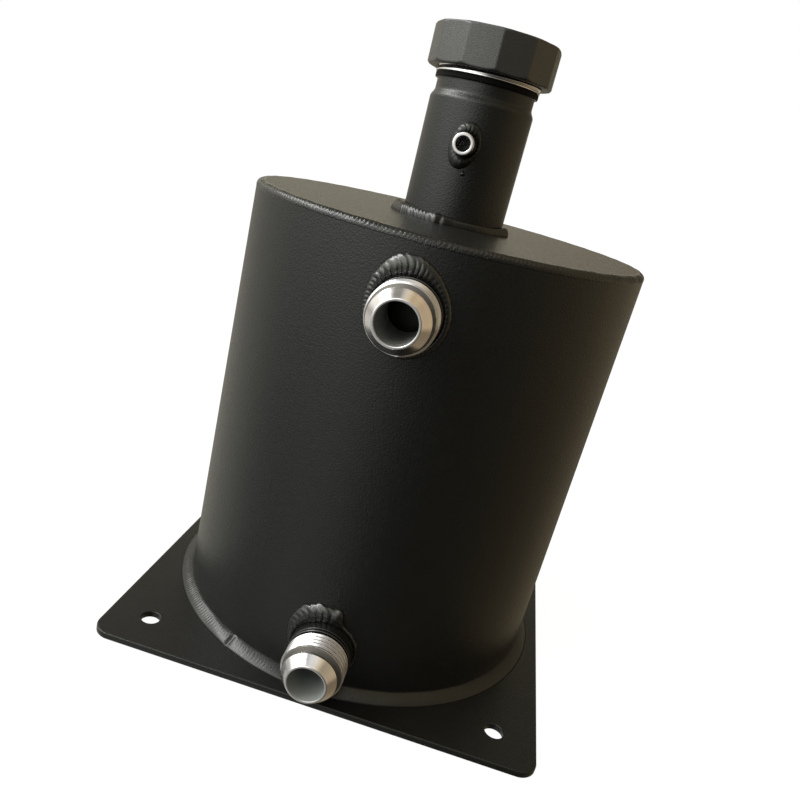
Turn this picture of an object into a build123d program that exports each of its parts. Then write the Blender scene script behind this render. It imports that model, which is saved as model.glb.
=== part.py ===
from build123d import *
import os
from math import atan2, ceil, cos, pi, radians, sin, sqrt

# A welded dry sump oil tank: a tube on a square base plate, a flat top with a screw-capped
# filler neck, two male hose fittings on the front, a breather pipe on the neck, and a
# swirl deflector and two perforated baffles inside. Millimetres, +Z up, the fittings face -Y.
# The origin is the centre of the base plate's underside.

# Base plate
PLATE_SIDE = 200.0
PLATE_THICKNESS = 3.0
PLATE_CORNER_RADIUS = 8.0
MOUNT_HOLE_DIAMETER = 8.5
MOUNT_HOLE_INSET = 19.0

# Shell and top plate
SHELL_DIAMETER = 177.8
SHELL_WALL = 3.0
TANK_HEIGHT = 199.5
TOP_THICKNESS = 3.0
TOP_RIM_RADIUS = 2.7
TOP_BEVEL_LAND = 0.9

# Filler neck, one turned piece that stands in a hole in the top plate
NECK_DIAMETER = 45.9
NECK_BORE = 38.0
NECK_TUBE_HEIGHT = 50.0
NECK_SHOULDER_HEIGHT = 2.5
NECK_WAIST_DIAMETER = 43.0
NECK_WAIST_HEIGHT = 4.8
NECK_RIM_DIAMETER = 45.4
NECK_RIM_HEIGHT = 2.0
NECK_NOTCH_DEPTH = 0.6
NECK_NOTCH_HEIGHT = 0.4
NECK_THREAD_HEIGHT = 13.0
NECK_THREAD_CHAMFER = 0.8
NECK_SPIGOT_LENGTH = 1.5

# Screw cap and its flat seal
CAP_SIDES = 12
CAP_CORNER_ANGLE = 8.0
CAP_CORNER_DIAMETER = 55.0
CAP_HEIGHT = 16.0
CAP_TOP_THICKNESS = 3.4
CAP_TOP_CHAMFER_WIDTH = 2.6
CAP_TOP_CHAMFER_HEIGHT = 2.0
CAP_FOOT_CHAMFER = 0.9
CAP_MOUTH_CHAMFER = 0.5
CAP_THREAD_CLEARANCE = 0.08
CAP_STAND_OFF = 2.0
SEAL_WIDTH = 3.4
SEAL_CLEARANCE = 0.2

# Hose fittings: weld-on males with a 1 1/16 inch thread and a 37 degree cone
FITTING_THREAD_DIAMETER = 26.9
FITTING_BORE = 15.5
FITTING_NOSE_DIAMETER = 17.4
FITTING_NOSE_EDGE = 0.3
FITTING_CONE_DIAMETER = 23.6
FITTING_CONE_ANGLE = 37.0
FITTING_LAND = 0.8
FITTING_GROOVE_DIAMETER = 22.6
FITTING_GROOVE_LENGTH = 1.9
FITTING_THREAD_CHAMFER = 1.2
FITTING_THREAD_LENGTH = 8.1
FITTING_RELIEF_DIAMETER = 25.0
FITTING_RELIEF_LENGTH = 0.9
FITTING_COLLAR_DIAMETER = 27.6
FITTING_COLLAR_CHAMFER = 0.5
FITTING_INNER_REACH = 3.9
INLET_DROP = 28.5
INLET_REACH = 19.4
OUTLET_RISE = 19.3
OUTLET_REACH = 25.0

# Breather pipe on the neck
VENT_DROP = 17.2
VENT_DIAMETER = 8.8
VENT_BORE = 5.9
VENT_REACH = 16.0
VENT_INNER_REACH = 1.0
VENT_TIP_CHAMFER = 0.4

# Weld beads
BASE_WELD_FOOT = 5.5
BASE_WELD_RISE = 3.8
BASE_WELD_CROWN = 0.5
FITTING_BEAD_LEG = 6.6
FITTING_BEAD_RISE = 2.8
FITTING_BEAD_PITCH = 3.4
NECK_BEAD_LEG = 5.8
NECK_BEAD_RISE = 4.0
NECK_BEAD_PITCH = 3.6
VENT_BEAD_LEG = 3.8
VENT_BEAD_RISE = 1.9
VENT_BEAD_PITCH = 2.2
BEAD_ROOT = 0.3
BEAD_FACETS = 5
BEAD_TAPER_ANGLE = 7.0

# Inside: perforated baffles on bent tabs, and a channel that turns the returning oil along the wall
BAFFLE_THICKNESS = 2.0
LOWER_BAFFLE_RISE = 45.0
UPPER_BAFFLE_DROP = 67.5
BAFFLE_EDGE_GAP = 1.0
BAFFLE_CENTRE_HOLE = 34.0
BAFFLE_HOLE_DIAMETER = 14.0
BAFFLE_HOLE_COUNT = 10
BAFFLE_HOLE_CIRCLE = 116.0
TAB_COUNT = 3
TAB_WIDTH = 14.0
TAB_REACH = 10.0
TAB_DROP = 12.0
TAB_THICKNESS = 2.0
DEFLECTOR_HEIGHT = 44.0
DEFLECTOR_DEPTH = 12.0
DEFLECTOR_SHEET = 1.5
DEFLECTOR_HALF_ANGLE = 30.0

# Running and assembly gaps
HOLE_GAP = 0.1
WALL_GAP = 0.1

# Worked out from the sizes above
SHELL_RADIUS = SHELL_DIAMETER / 2
SHELL_BORE_RADIUS = SHELL_RADIUS - SHELL_WALL
SHELL_TOP = TANK_HEIGHT - TOP_THICKNESS
NECK_RADIUS = NECK_DIAMETER / 2
COLLAR_RADIUS = FITTING_COLLAR_DIAMETER / 2
NECK_SHOULDER = TANK_HEIGHT + NECK_TUBE_HEIGHT
NECK_RIM_TOP = NECK_SHOULDER + NECK_SHOULDER_HEIGHT + NECK_WAIST_HEIGHT + NECK_RIM_HEIGHT
NECK_THREAD_BOTTOM = NECK_RIM_TOP + NECK_NOTCH_HEIGHT
NECK_TOP = NECK_THREAD_BOTTOM + NECK_THREAD_HEIGHT
CAP_BOTTOM = NECK_THREAD_BOTTOM + CAP_STAND_OFF
CAP_BORE_RADIUS = NECK_RADIUS + CAP_THREAD_CLEARANCE
CAP_BORE_TOP = CAP_BOTTOM + CAP_HEIGHT - CAP_TOP_THICKNESS
INLET_HEIGHT = TANK_HEIGHT - INLET_DROP
INLET_TIP = SHELL_RADIUS + INLET_REACH
OUTLET_HEIGHT = PLATE_THICKNESS + OUTLET_RISE
OUTLET_TIP = SHELL_RADIUS + OUTLET_REACH
FITTING_INNER_END = SHELL_BORE_RADIUS - FITTING_INNER_REACH
VENT_HEIGHT = NECK_SHOULDER - VENT_DROP
VENT_TIP = NECK_RADIUS + VENT_REACH
VENT_INNER_END = NECK_BORE / 2 - VENT_INNER_REACH
LOWER_BAFFLE_HEIGHT = PLATE_THICKNESS + LOWER_BAFFLE_RISE
UPPER_BAFFLE_HEIGHT = TANK_HEIGHT - UPPER_BAFFLE_DROP


def turned(points):
    """A solid turned about Z from (radius, height) points."""
    outline = [(radius, 0, height) for radius, height in points]
    return revolve(make_face(Polyline(*outline, close=True)), Axis.Z)


def rod(radius, low, high):
    """A plain cylinder on the Z axis between two heights."""
    return Pos(0, 0, low) * Cylinder(radius, high - low, align=(Align.CENTER, Align.CENTER, Align.MIN))


def facing_front(shape, height):
    """Lays a shape turned about Z along -Y, at a height on the tank's centre line."""
    return Pos(0, 0, height) * Rot(90, 0, 0) * shape


def make_base_plate():
    plate = extrude(RectangleRounded(PLATE_SIDE, PLATE_SIDE, PLATE_CORNER_RADIUS), PLATE_THICKNESS)
    spacing = PLATE_SIDE - 2 * MOUNT_HOLE_INSET
    for place in GridLocations(spacing, spacing, 2, 2):
        plate -= place * rod(MOUNT_HOLE_DIAMETER / 2, -1, PLATE_THICKNESS + 1)
    return plate


def make_tank_shell():
    shell = rod(SHELL_RADIUS, PLATE_THICKNESS, SHELL_TOP) - rod(SHELL_BORE_RADIUS, 0, TANK_HEIGHT)
    hole = rod(COLLAR_RADIUS + HOLE_GAP, 0, SHELL_DIAMETER)
    for height in (INLET_HEIGHT, OUTLET_HEIGHT):
        shell -= facing_front(hole, height)
    return shell


def make_top_plate():
    disc = turned([
        (0, SHELL_TOP),
        (SHELL_RADIUS - TOP_BEVEL_LAND, SHELL_TOP),
        (SHELL_RADIUS - TOP_RIM_RADIUS, TANK_HEIGHT),
        (0, TANK_HEIGHT),
    ])
    return disc - rod(NECK_RADIUS + HOLE_GAP, SHELL_TOP - 1, TANK_HEIGHT + 1)


def make_top_seam_weld():
    """The corner weld between top plate and shell, ground to a round rim."""
    rim_start = TANK_HEIGHT - TOP_RIM_RADIUS
    bevel_top = (SHELL_RADIUS - TOP_RIM_RADIUS, 0, TANK_HEIGHT)
    bevel_foot = (SHELL_RADIUS - TOP_BEVEL_LAND, 0, SHELL_TOP)
    outer_foot = (SHELL_RADIUS, 0, SHELL_TOP)
    outer_top = (SHELL_RADIUS, 0, rim_start)
    diagonal = TOP_RIM_RADIUS * cos(pi / 4)
    middle = (SHELL_RADIUS - TOP_RIM_RADIUS + diagonal, 0, rim_start + diagonal)
    outline = Wire([
        Line(bevel_top, bevel_foot).edge(),
        Line(bevel_foot, outer_foot).edge(),
        Line(outer_foot, outer_top).edge(),
        ThreePointArc(outer_top, middle, bevel_top).edge(),
    ])
    return revolve(make_face(outline), Axis.Z)


def make_base_weld():
    """The fillet weld round the foot of the shell, with a slightly crowned face."""
    foot = (SHELL_RADIUS + BASE_WELD_FOOT, 0, PLATE_THICKNESS)
    root = (SHELL_RADIUS, 0, PLATE_THICKNESS)
    crest = (SHELL_RADIUS, 0, PLATE_THICKNESS + BASE_WELD_RISE)
    slant = atan2(BASE_WELD_FOOT, BASE_WELD_RISE)
    middle = (
        (foot[0] + crest[0]) / 2 + BASE_WELD_CROWN * cos(slant),
        0,
        (foot[2] + crest[2]) / 2 + BASE_WELD_CROWN * sin(slant),
    )
    outline = Wire([
        Line(root, foot).edge(),
        ThreePointArc(foot, middle, crest).edge(),
        Line(crest, root).edge(),
    ])
    return revolve(make_face(outline), Axis.Z)


def make_filler_neck():
    waist = NECK_WAIST_DIAMETER / 2
    rim = NECK_RIM_DIAMETER / 2
    bore = NECK_BORE / 2
    shoulder_high = NECK_SHOULDER + NECK_SHOULDER_HEIGHT
    rim_bottom = NECK_RIM_TOP - NECK_RIM_HEIGHT
    foot = SHELL_TOP - NECK_SPIGOT_LENGTH
    neck = turned([
        (bore, foot),
        (NECK_RADIUS, foot),
        (NECK_RADIUS, NECK_SHOULDER),
        (waist, shoulder_high),
        (waist, rim_bottom),
        (rim, rim_bottom),
        (rim, NECK_RIM_TOP),
        (NECK_RADIUS - NECK_NOTCH_DEPTH, NECK_RIM_TOP),
        (NECK_RADIUS - NECK_NOTCH_DEPTH, NECK_THREAD_BOTTOM),
        (NECK_RADIUS, NECK_THREAD_BOTTOM),
        (NECK_RADIUS, NECK_TOP - NECK_THREAD_CHAMFER),
        (NECK_RADIUS - NECK_THREAD_CHAMFER, NECK_TOP),
        (bore, NECK_TOP),
    ])
    return neck - facing_front(rod(VENT_DIAMETER / 2 + HOLE_GAP, 0, NECK_DIAMETER), VENT_HEIGHT)


def make_filler_cap():
    """A twelve-sided cap with a chamfer turned on its top and foot corners."""
    corner = CAP_CORNER_DIAMETER / 2
    top = CAP_BOTTOM + CAP_HEIGHT
    blank = extrude(RegularPolygon(corner, CAP_SIDES, rotation=CAP_CORNER_ANGLE), CAP_HEIGHT)
    envelope = turned([
        (0, CAP_BOTTOM),
        (corner - CAP_FOOT_CHAMFER, CAP_BOTTOM),
        (corner, CAP_BOTTOM + CAP_FOOT_CHAMFER),
        (corner, top - CAP_TOP_CHAMFER_HEIGHT),
        (corner - CAP_TOP_CHAMFER_WIDTH, top),
        (0, top),
    ])
    bore = turned([
        (0, CAP_BOTTOM - 1),
        (CAP_BORE_RADIUS + CAP_MOUTH_CHAMFER, CAP_BOTTOM - 1),
        (CAP_BORE_RADIUS + CAP_MOUTH_CHAMFER, CAP_BOTTOM),
        (CAP_BORE_RADIUS, CAP_BOTTOM + CAP_MOUTH_CHAMFER),
        (CAP_BORE_RADIUS, CAP_BORE_TOP),
        (0, CAP_BORE_TOP),
    ])
    return Pos(0, 0, CAP_BOTTOM) * blank & envelope - bore


def make_cap_seal():
    """A flat ring on the neck's rim, squeezed by the cap."""
    outer = CAP_BORE_RADIUS - SEAL_CLEARANCE
    return rod(outer, NECK_TOP, CAP_BORE_TOP) - rod(outer - SEAL_WIDTH, NECK_TOP - 1, CAP_BORE_TOP + 1)


def make_fitting(tip, height):
    """A turned hose fitting: nose, cone, groove, thread, relief, collar and a through bore."""
    bore = FITTING_BORE / 2
    nose = FITTING_NOSE_DIAMETER / 2
    cone = FITTING_CONE_DIAMETER / 2
    thread = FITTING_THREAD_DIAMETER / 2
    groove = FITTING_GROOVE_DIAMETER / 2
    relief = FITTING_RELIEF_DIAMETER / 2
    cone_length = (cone - nose) * cos(radians(FITTING_CONE_ANGLE)) / sin(radians(FITTING_CONE_ANGLE))
    cone_end = tip - FITTING_NOSE_EDGE - cone_length
    groove_start = cone_end - FITTING_LAND
    groove_end = groove_start - FITTING_GROOVE_LENGTH
    thread_start = groove_end - FITTING_THREAD_CHAMFER
    thread_end = thread_start - FITTING_THREAD_LENGTH
    relief_end = thread_end - FITTING_RELIEF_LENGTH
    body = turned([
        (bore, FITTING_INNER_END),
        (COLLAR_RADIUS, FITTING_INNER_END),
        (COLLAR_RADIUS, relief_end - FITTING_COLLAR_CHAMFER),
        (COLLAR_RADIUS - FITTING_COLLAR_CHAMFER, relief_end),
        (relief, relief_end),
        (relief, thread_end),
        (thread, thread_end),
        (thread, thread_start),
        (groove, groove_end),
        (groove, groove_start),
        (cone, groove_start),
        (cone, cone_end),
        (nose, tip - FITTING_NOSE_EDGE),
        (nose - FITTING_NOSE_EDGE, tip),
        (bore + FITTING_NOSE_EDGE, tip),
        (bore, tip - FITTING_NOSE_EDGE),
    ])
    return facing_front(body, height)


def make_vent_pipe():
    outer = VENT_DIAMETER / 2
    bore = VENT_BORE / 2
    pipe = turned([
        (bore, VENT_INNER_END),
        (outer, VENT_INNER_END),
        (outer, VENT_TIP - VENT_TIP_CHAMFER),
        (outer - VENT_TIP_CHAMFER, VENT_TIP),
        (bore, VENT_TIP),
    ])
    return facing_front(pipe, VENT_HEIGHT)


def ripples(pipe_radius, leg, rise, pitch, dip):
    """Weld ripples round a pipe on the Z axis: tapered blocks, each overlapping the last.

    dip gives how far the surface under them falls away below z = 0 at a distance to the side.
    """
    ring = pipe_radius + leg / 2
    half_width = leg / 2 + BEAD_ROOT
    arch = [pi * corner / BEAD_FACETS for corner in range(BEAD_FACETS + 1)]
    crown = [(ring + half_width * cos(angle), 0, rise * sin(angle)) for angle in arch]
    foot = [(ring - half_width, 0, -rise), (ring + half_width, 0, -rise)]
    section = make_face(Polyline(*crown, *foot, close=True))
    count = ceil(2 * pi * ring / pitch)
    length = 2 * pi * (ring + half_width) / count
    blocks = []
    for index in range(count):
        angle = 360 * index / count
        block = extrude(section, length, dir=(0, 1, 0), taper=BEAD_TAPER_ANGLE)
        blocks.append(Pos(0, 0, -dip(ring * cos(radians(angle)))) * Rot(0, 0, angle) * block)
    return blocks[0].fuse(*blocks[1:])


def bead_on_tube(tube_radius, pipe_radius, height, leg, rise, pitch):
    """A rippled bead where a pipe leaves a tube's front, seated on both."""
    def dip(side):
        return tube_radius - sqrt(tube_radius ** 2 - side ** 2)

    bead = Pos(0, 0, tube_radius) * ripples(pipe_radius, leg, rise, pitch, dip)
    reach = pipe_radius + 2 * leg
    bead = facing_front(bead, height) - rod(tube_radius, height - reach, height + reach)
    return bead - facing_front(rod(pipe_radius, 0, tube_radius + 2 * rise), height)


def make_fitting_weld(height):
    return bead_on_tube(SHELL_RADIUS, COLLAR_RADIUS, height, FITTING_BEAD_LEG, FITTING_BEAD_RISE,
                        FITTING_BEAD_PITCH)


def make_outlet_weld():
    """The outlet's bead runs into the base weld, which it is cut back to."""
    floor = rod(PLATE_SIDE, -PLATE_SIDE, PLATE_THICKNESS)
    return make_fitting_weld(OUTLET_HEIGHT) - make_base_weld() - floor


def make_vent_weld():
    return bead_on_tube(NECK_RADIUS, VENT_DIAMETER / 2, VENT_HEIGHT, VENT_BEAD_LEG, VENT_BEAD_RISE,
                        VENT_BEAD_PITCH)


def make_neck_weld():
    """A rippled bead round the foot of the neck, on the top plate."""
    bead = ripples(NECK_RADIUS, NECK_BEAD_LEG, NECK_BEAD_RISE, NECK_BEAD_PITCH, lambda side: 0)
    bead = Pos(0, 0, TANK_HEIGHT) * bead - rod(SHELL_RADIUS, TANK_HEIGHT - 2 * NECK_BEAD_RISE, TANK_HEIGHT)
    return bead - rod(NECK_RADIUS, TANK_HEIGHT - NECK_BEAD_RISE, TANK_HEIGHT + 2 * NECK_BEAD_RISE)


def make_baffle(height):
    """A disc with a centre hole and a ring of drain holes; its underside is at the height given."""
    radius = SHELL_BORE_RADIUS - BAFFLE_EDGE_GAP
    disc = rod(radius, height, height + BAFFLE_THICKNESS)
    disc -= rod(BAFFLE_CENTRE_HOLE / 2, height - 1, height + BAFFLE_THICKNESS + 1)
    for place in PolarLocations(BAFFLE_HOLE_CIRCLE / 2, BAFFLE_HOLE_COUNT):
        disc -= place * rod(BAFFLE_HOLE_DIAMETER / 2, height - 1, height + BAFFLE_THICKNESS + 1)
    return disc


def make_baffle_tabs(height):
    """Bent tabs on the shell's inner wall, just under a baffle, apart from the front fittings."""
    outer = SHELL_BORE_RADIUS - WALL_GAP
    ring = turned([
        (outer, height),
        (outer, height - TAB_DROP),
        (outer - TAB_THICKNESS, height - TAB_DROP),
        (outer - TAB_THICKNESS, height - TAB_THICKNESS),
        (outer - TAB_REACH, height - TAB_THICKNESS),
        (outer - TAB_REACH, height),
    ])
    strip = Pos(0, 0, height - TAB_DROP / 2) * Box(
        SHELL_RADIUS, TAB_WIDTH, 2 * TAB_DROP, align=(Align.MIN, Align.CENTER, Align.CENTER))
    turn = 360 / TAB_COUNT
    return [ring & Rot(0, 0, 90 + turn * index) * strip for index in range(TAB_COUNT)]


def make_return_deflector():
    """A channel facing the inlet, open at both ends, that sends the oil round the wall."""
    outer = SHELL_BORE_RADIUS - WALL_GAP
    inner = SHELL_BORE_RADIUS - DEFLECTOR_DEPTH
    low = INLET_HEIGHT - DEFLECTOR_HEIGHT / 2
    high = INLET_HEIGHT + DEFLECTOR_HEIGHT / 2
    outline = Polyline(
        (outer, 0, low),
        (outer, 0, low + DEFLECTOR_SHEET),
        (inner, 0, low + DEFLECTOR_SHEET),
        (inner, 0, high - DEFLECTOR_SHEET),
        (outer, 0, high - DEFLECTOR_SHEET),
        (outer, 0, high),
        (inner - DEFLECTOR_SHEET, 0, high),
        (inner - DEFLECTOR_SHEET, 0, low),
        close=True,
    )
    channel = revolve(make_face(outline), Axis.Z, revolution_arc=2 * DEFLECTOR_HALF_ANGLE)
    return Rot(0, 0, -90 - DEFLECTOR_HALF_ANGLE) * channel


pieces = {
    "base_plate": make_base_plate(),
    "tank_shell": make_tank_shell(),
    "top_plate": make_top_plate(),
    "top_seam_weld": make_top_seam_weld(),
    "base_weld": make_base_weld(),
    "filler_neck": make_filler_neck(),
    "neck_weld": make_neck_weld(),
    "filler_cap": make_filler_cap(),
    "cap_seal": make_cap_seal(),
    "inlet_fitting": make_fitting(INLET_TIP, INLET_HEIGHT),
    "inlet_weld": make_fitting_weld(INLET_HEIGHT),
    "outlet_fitting": make_fitting(OUTLET_TIP, OUTLET_HEIGHT),
    "outlet_weld": make_outlet_weld(),
    "vent_pipe": make_vent_pipe(),
    "vent_weld": make_vent_weld(),
    "lower_baffle": make_baffle(LOWER_BAFFLE_HEIGHT),
    "upper_baffle": make_baffle(UPPER_BAFFLE_HEIGHT),
    "lower_baffle_tabs": make_baffle_tabs(LOWER_BAFFLE_HEIGHT),
    "upper_baffle_tabs": make_baffle_tabs(UPPER_BAFFLE_HEIGHT),
    "return_deflector": make_return_deflector(),
}

os.makedirs("parts", exist_ok=True)
for node, shape in pieces.items():
    solids = shape if isinstance(shape, list) else [shape]
    solids = [solid for piece in solids for solid in piece.solids()]
    export_step(Compound(children=solids), os.path.join("parts", node + ".step"))
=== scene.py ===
import random
from math import cos, exp, hypot, pi, radians, sin, sqrt, tan

import bmesh
import bpy
import numpy as np
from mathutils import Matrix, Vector


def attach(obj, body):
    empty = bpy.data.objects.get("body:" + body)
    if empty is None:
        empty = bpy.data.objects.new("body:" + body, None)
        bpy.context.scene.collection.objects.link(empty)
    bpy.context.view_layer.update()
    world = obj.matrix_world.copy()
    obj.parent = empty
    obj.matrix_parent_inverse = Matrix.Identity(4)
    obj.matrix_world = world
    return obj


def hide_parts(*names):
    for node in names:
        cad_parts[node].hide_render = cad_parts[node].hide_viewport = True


# The dressed model of a welded dry sump oil tank. Sizes are in millimetres, and the main ones
# repeat the named values of the CAD source; Blender's own units are metres.
MM = 0.001

# Base plate; its edge is (inset, height) from the underside up
PLATE_SIDE = 200.0
PLATE_THICKNESS = 3.0
PLATE_CORNER_RADIUS = 8.0
PLATE_CORNER_STEPS = 12
PLATE_EDGE = [(0.5, 0), (0.18, 0.06), (0, 0.3), (0, PLATE_THICKNESS - 0.45),
              (0.08, PLATE_THICKNESS - 0.18), (0.26, PLATE_THICKNESS - 0.05),
              (0.6, PLATE_THICKNESS)]
MOUNT_HOLE_RADIUS = 4.25
MOUNT_HOLE_PLACE = 81.0
MOUNT_HOLE_STEPS = 48
MOUNT_HOLE_EDGE_SHARE = 0.7

# Shell, the weld at its foot and the ground rim at its top
SHELL_RADIUS = 88.9
TANK_HEIGHT = 199.5
TOP_RIM_RADIUS = 2.7
TOP_RIM_DOWN = 0.35
TOP_RIM_IN = 0.8
BASE_WELD_FOOT = 5.5
BASE_WELD_RISE = 3.8
BASE_WELD_CROWN = 0.5

# Filler neck
NECK_RADIUS = 22.95
NECK_BORE_RADIUS = 19.0
NECK_FOOT = 195.0
NECK_SHOULDER = 249.5
NECK_WAIST_RADIUS = 21.5
NECK_WAIST_BOTTOM = 252.0
NECK_RIM_RADIUS = 22.7
NECK_RIM_BOTTOM = 256.8
NECK_RIM_TOP = 258.8
NECK_NOTCH_RADIUS = 22.35
NECK_THREAD_BOTTOM = 259.2
NECK_THREAD_RUN_IN = 0.6
NECK_TOP = 272.2
NECK_TOP_CHAMFER = 0.8
NECK_THREAD_PITCH = 3.0
NECK_THREAD_DEPTH = 1.1
NECK_BARE_BOTTOM = 259.15

# Screw cap; the places across a flat run from one corner to the next
CAP_SIDES = 12
CAP_CORNER_RADIUS = 27.5
CAP_CORNER_ANGLE = 8.0
CAP_CORNER_CUT = 0.06
CAP_FLAT_CROWN = 0.12
CAP_FLAT_PLACES = (-0.5, -0.48, -0.46, -0.42, -0.3, -0.15, 0, 0.15, 0.3, 0.42, 0.46, 0.48)
CAP_BOTTOM = 261.2
CAP_TOP = 277.2
CAP_BORE_RADIUS = 23.03
CAP_BORE_TOP = 273.8
CAP_BORE_EDGE = 0.3
CAP_THREAD_TOP = CAP_BORE_TOP - 0.5
CAP_THREAD_BOTTOM = CAP_BOTTOM + 0.9
CAP_THREAD_DEPTH = 0.9
CAP_THREAD_FLANK = 1.3
CAP_THREAD_STEP = 0.3
CAP_TOP_CHAMFER_WIDTH = 0.7
CAP_TOP_CHAMFER_HEIGHT = 0.6
CAP_TOP_EDGE = 0.15
CAP_TOP_RIM_INSET = 0.22
CAP_FOOT_CHAMFER = 0.9
CAP_FOOT_LEAST = 0.25
CAP_MOUTH_CHAMFER = 0.5

# Hose fittings, as distances back from the tip
FITTING_BORE_RADIUS = 7.75
FITTING_NOSE_RADIUS = 8.7
FITTING_CONE_RADIUS = 11.8
FITTING_CONE_ANGLE = 37.0
FITTING_NOSE_EDGE = 0.3
FITTING_LAND = 0.8
FITTING_GROOVE_RADIUS = 10.9
FITTING_GROOVE_LENGTH = 1.9
FITTING_THREAD_RADIUS = 13.45
FITTING_THREAD_CHAMFER = 1.2
FITTING_THREAD_LENGTH = 8.1
FITTING_THREAD_PITCH = 25.4 / 12
FITTING_THREAD_DEPTH = 1.25
# Painted shade: thread valleys under this radius, and the groove with the chamfer from this far
# past the thread's start
FITTING_SHADED_VALLEY_RADIUS = FITTING_THREAD_RADIUS - 0.85
FITTING_SHADED_CHAMFER = 0.65
FITTING_RELIEF_RADIUS = 12.5
FITTING_RELIEF_LENGTH = 0.9
FITTING_COLLAR_RADIUS = 13.8
FITTING_RIDGE_LENGTH = 1.2
FITTING_NOTCH_DEPTH = 0.8
FITTING_NOTCH_LENGTH = 0.5
FITTING_NOTCH_SLOPE = 0.2
FITTING_BARE_LENGTH = 16.3
FITTING_INNER_END = 82.0
INLET_HEIGHT = 171.0
INLET_TIP = 108.3
OUTLET_HEIGHT = 22.3
OUTLET_TIP = 113.9

# Breather pipe, and the drop of spatter under it as (radius, distance from the tank's axis)
VENT_HEIGHT = 232.3
VENT_RADIUS = 4.4
VENT_BORE_RADIUS = 2.95
VENT_TIP = 38.95
VENT_INNER_END = 18.0
VENT_BARE_LENGTH = 1.4
SPATTER_X = 1.4
SPATTER_HEIGHT = 221.2
SPATTER_PROFILE = [(0, 22.2), (1.05, 22.2), (1.05, 22.95), (0.95, 23.35), (0.7, 23.7),
                   (0.35, 23.88), (0, 23.93)]

# Fineness of the meshes: points round a turned piece, and steps along its threads and round
# its edges. A profile's corner that states no radius of its own has the edge radius.
NECK_SEGMENTS = 160
FITTING_SEGMENTS = 128
VENT_SEGMENTS = 64
SPATTER_SEGMENTS = 24
EDGE_RADIUS = 0.2
EDGE_STEPS = 4
NECK_THREAD_STEP = 0.2
FITTING_THREAD_STEP = 0.12
VENT_STEP = 1.0
MERGE_DISTANCE = 0.0005

# Weld beads round a pipe. The sections are angles in degrees over the bead's back, from its
# toe on the wall to its toe on the pipe; centre and half are shares of the leg across it.
# A ripple's ends lag behind its middle by a number of ripples. Columns are points along each
# ripple, and ring steps are points across a ring's face.
BEAD_SECTIONS = (-24, -8, 6, 18, 30, 43, 57, 72, 88, 104, 120, 134, 150)
BEAD_COLUMNS = 12
BEAD_CENTRE = 0.44
BEAD_HALF = 0.56
BEAD_LAG = 1.3
BEAD_REACH = 0.6
BEAD_TOE_RIPPLE = 0.35
BEAD_ROOT_DEPTH = 0.45
RING_COLUMNS = 7
RING_STEPS = 8
RIPPLE_LENGTHS = (0.8, 1.25)
RIPPLE_HEIGHTS = (0.7, 1.1)
RIPPLE_LEAN = 0.7
RIPPLE_ROUNDNESS = 0.55

# Shape of a thread's turn: how steep its flanks are, and how wide its crest
THREAD_FLANK = 1.25
THREAD_CREST = 0.12

# Camera, solved from the photograph, for a square picture; it clips at a distance in metres
CAMERA_PLACE = (30.58, -350.69, 225.44)
CAMERA_ANGLES = (69.452, -13.2948, 11.0853)
CAMERA_LENS = 33.347
CAMERA_SENSOR = 36.0
CAMERA_SHIFT = (0.0186, 0.02625)
CAMERA_CLIP_START = 0.01

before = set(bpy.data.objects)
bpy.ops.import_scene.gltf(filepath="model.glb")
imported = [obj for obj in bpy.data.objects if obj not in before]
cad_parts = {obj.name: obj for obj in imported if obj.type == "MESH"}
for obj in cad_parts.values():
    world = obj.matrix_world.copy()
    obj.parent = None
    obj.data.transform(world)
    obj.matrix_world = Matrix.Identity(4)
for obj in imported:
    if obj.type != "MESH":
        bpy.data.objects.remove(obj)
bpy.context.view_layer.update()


# Node and material helpers

def add_node(tree, kind, settings=None, **inputs):
    """Adds a shader node; settings are its properties, inputs its sockets' values or links."""
    made = tree.nodes.new(kind)
    for key, value in (settings or {}).items():
        setattr(made, key, value)
    for key, value in inputs.items():
        socket = made.inputs[int(key[1:]) if key[1:].isdigit() else key.replace("_", " ")]
        if isinstance(value, bpy.types.NodeSocket):
            tree.links.new(value, socket)
        else:
            socket.default_value = value
    return made


def maths(tree, operation, *values):
    made = add_node(tree, "ShaderNodeMath", {"operation": operation},
                    **{"i%d" % place: value for place, value in enumerate(values)})
    return made.outputs[0]


def ramp(tree, factor, stops):
    """A colour ramp through (position, grey or colour) stops."""
    made = add_node(tree, "ShaderNodeValToRGB", Fac=factor)
    elements = made.color_ramp.elements
    while len(elements) < len(stops):
        elements.new(0.5)
    for element, (position, colour) in zip(elements, stops):
        element.position = position
        shade = colour if isinstance(colour, tuple) else (colour,) * 3
        element.color = (*shade, 1.0)
    return made.outputs["Color"]


def noise(tree, place, scale, detail=2.0, roughness=0.5):
    made = add_node(tree, "ShaderNodeTexNoise", Vector=place, Scale=scale, Detail=detail,
                    Roughness=roughness)
    return made.outputs["Fac"]


def start_material(name, **uniform):
    """A material, its shader with the uniform values set, and each surface point's place."""
    material = bpy.data.materials.new(name)
    material.use_nodes = True
    tree = material.node_tree
    shader = tree.nodes["Principled BSDF"]
    for key, value in uniform.items():
        shader.inputs[key.replace("_", " ")].default_value = value
    place = tree.nodes.new("ShaderNodeTexCoord").outputs["Object"]
    return material, tree, shader, place


def vary(tree, shader, socket, factor, *stops):
    """Feeds one of the shader's sockets from a ramp over a factor."""
    tree.links.new(ramp(tree, factor, stops), shader.inputs[socket])


def add_bump(tree, shader, height, distance):
    made = add_node(tree, "ShaderNodeBump", Height=height, Distance=distance, Strength=1.0)
    tree.links.new(made.outputs["Normal"], shader.inputs["Normal"])


def darker(shade, part):
    return tuple(part * value for value in shade)


COAT_SHADE = (0.0066, 0.0067, 0.0063)
TURNED_SHADE = (0.89, 0.86, 0.89)
ANODISED_LOW = (0.018, 0.018, 0.0175)
ANODISED_HIGH = (0.03, 0.03, 0.029)


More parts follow.
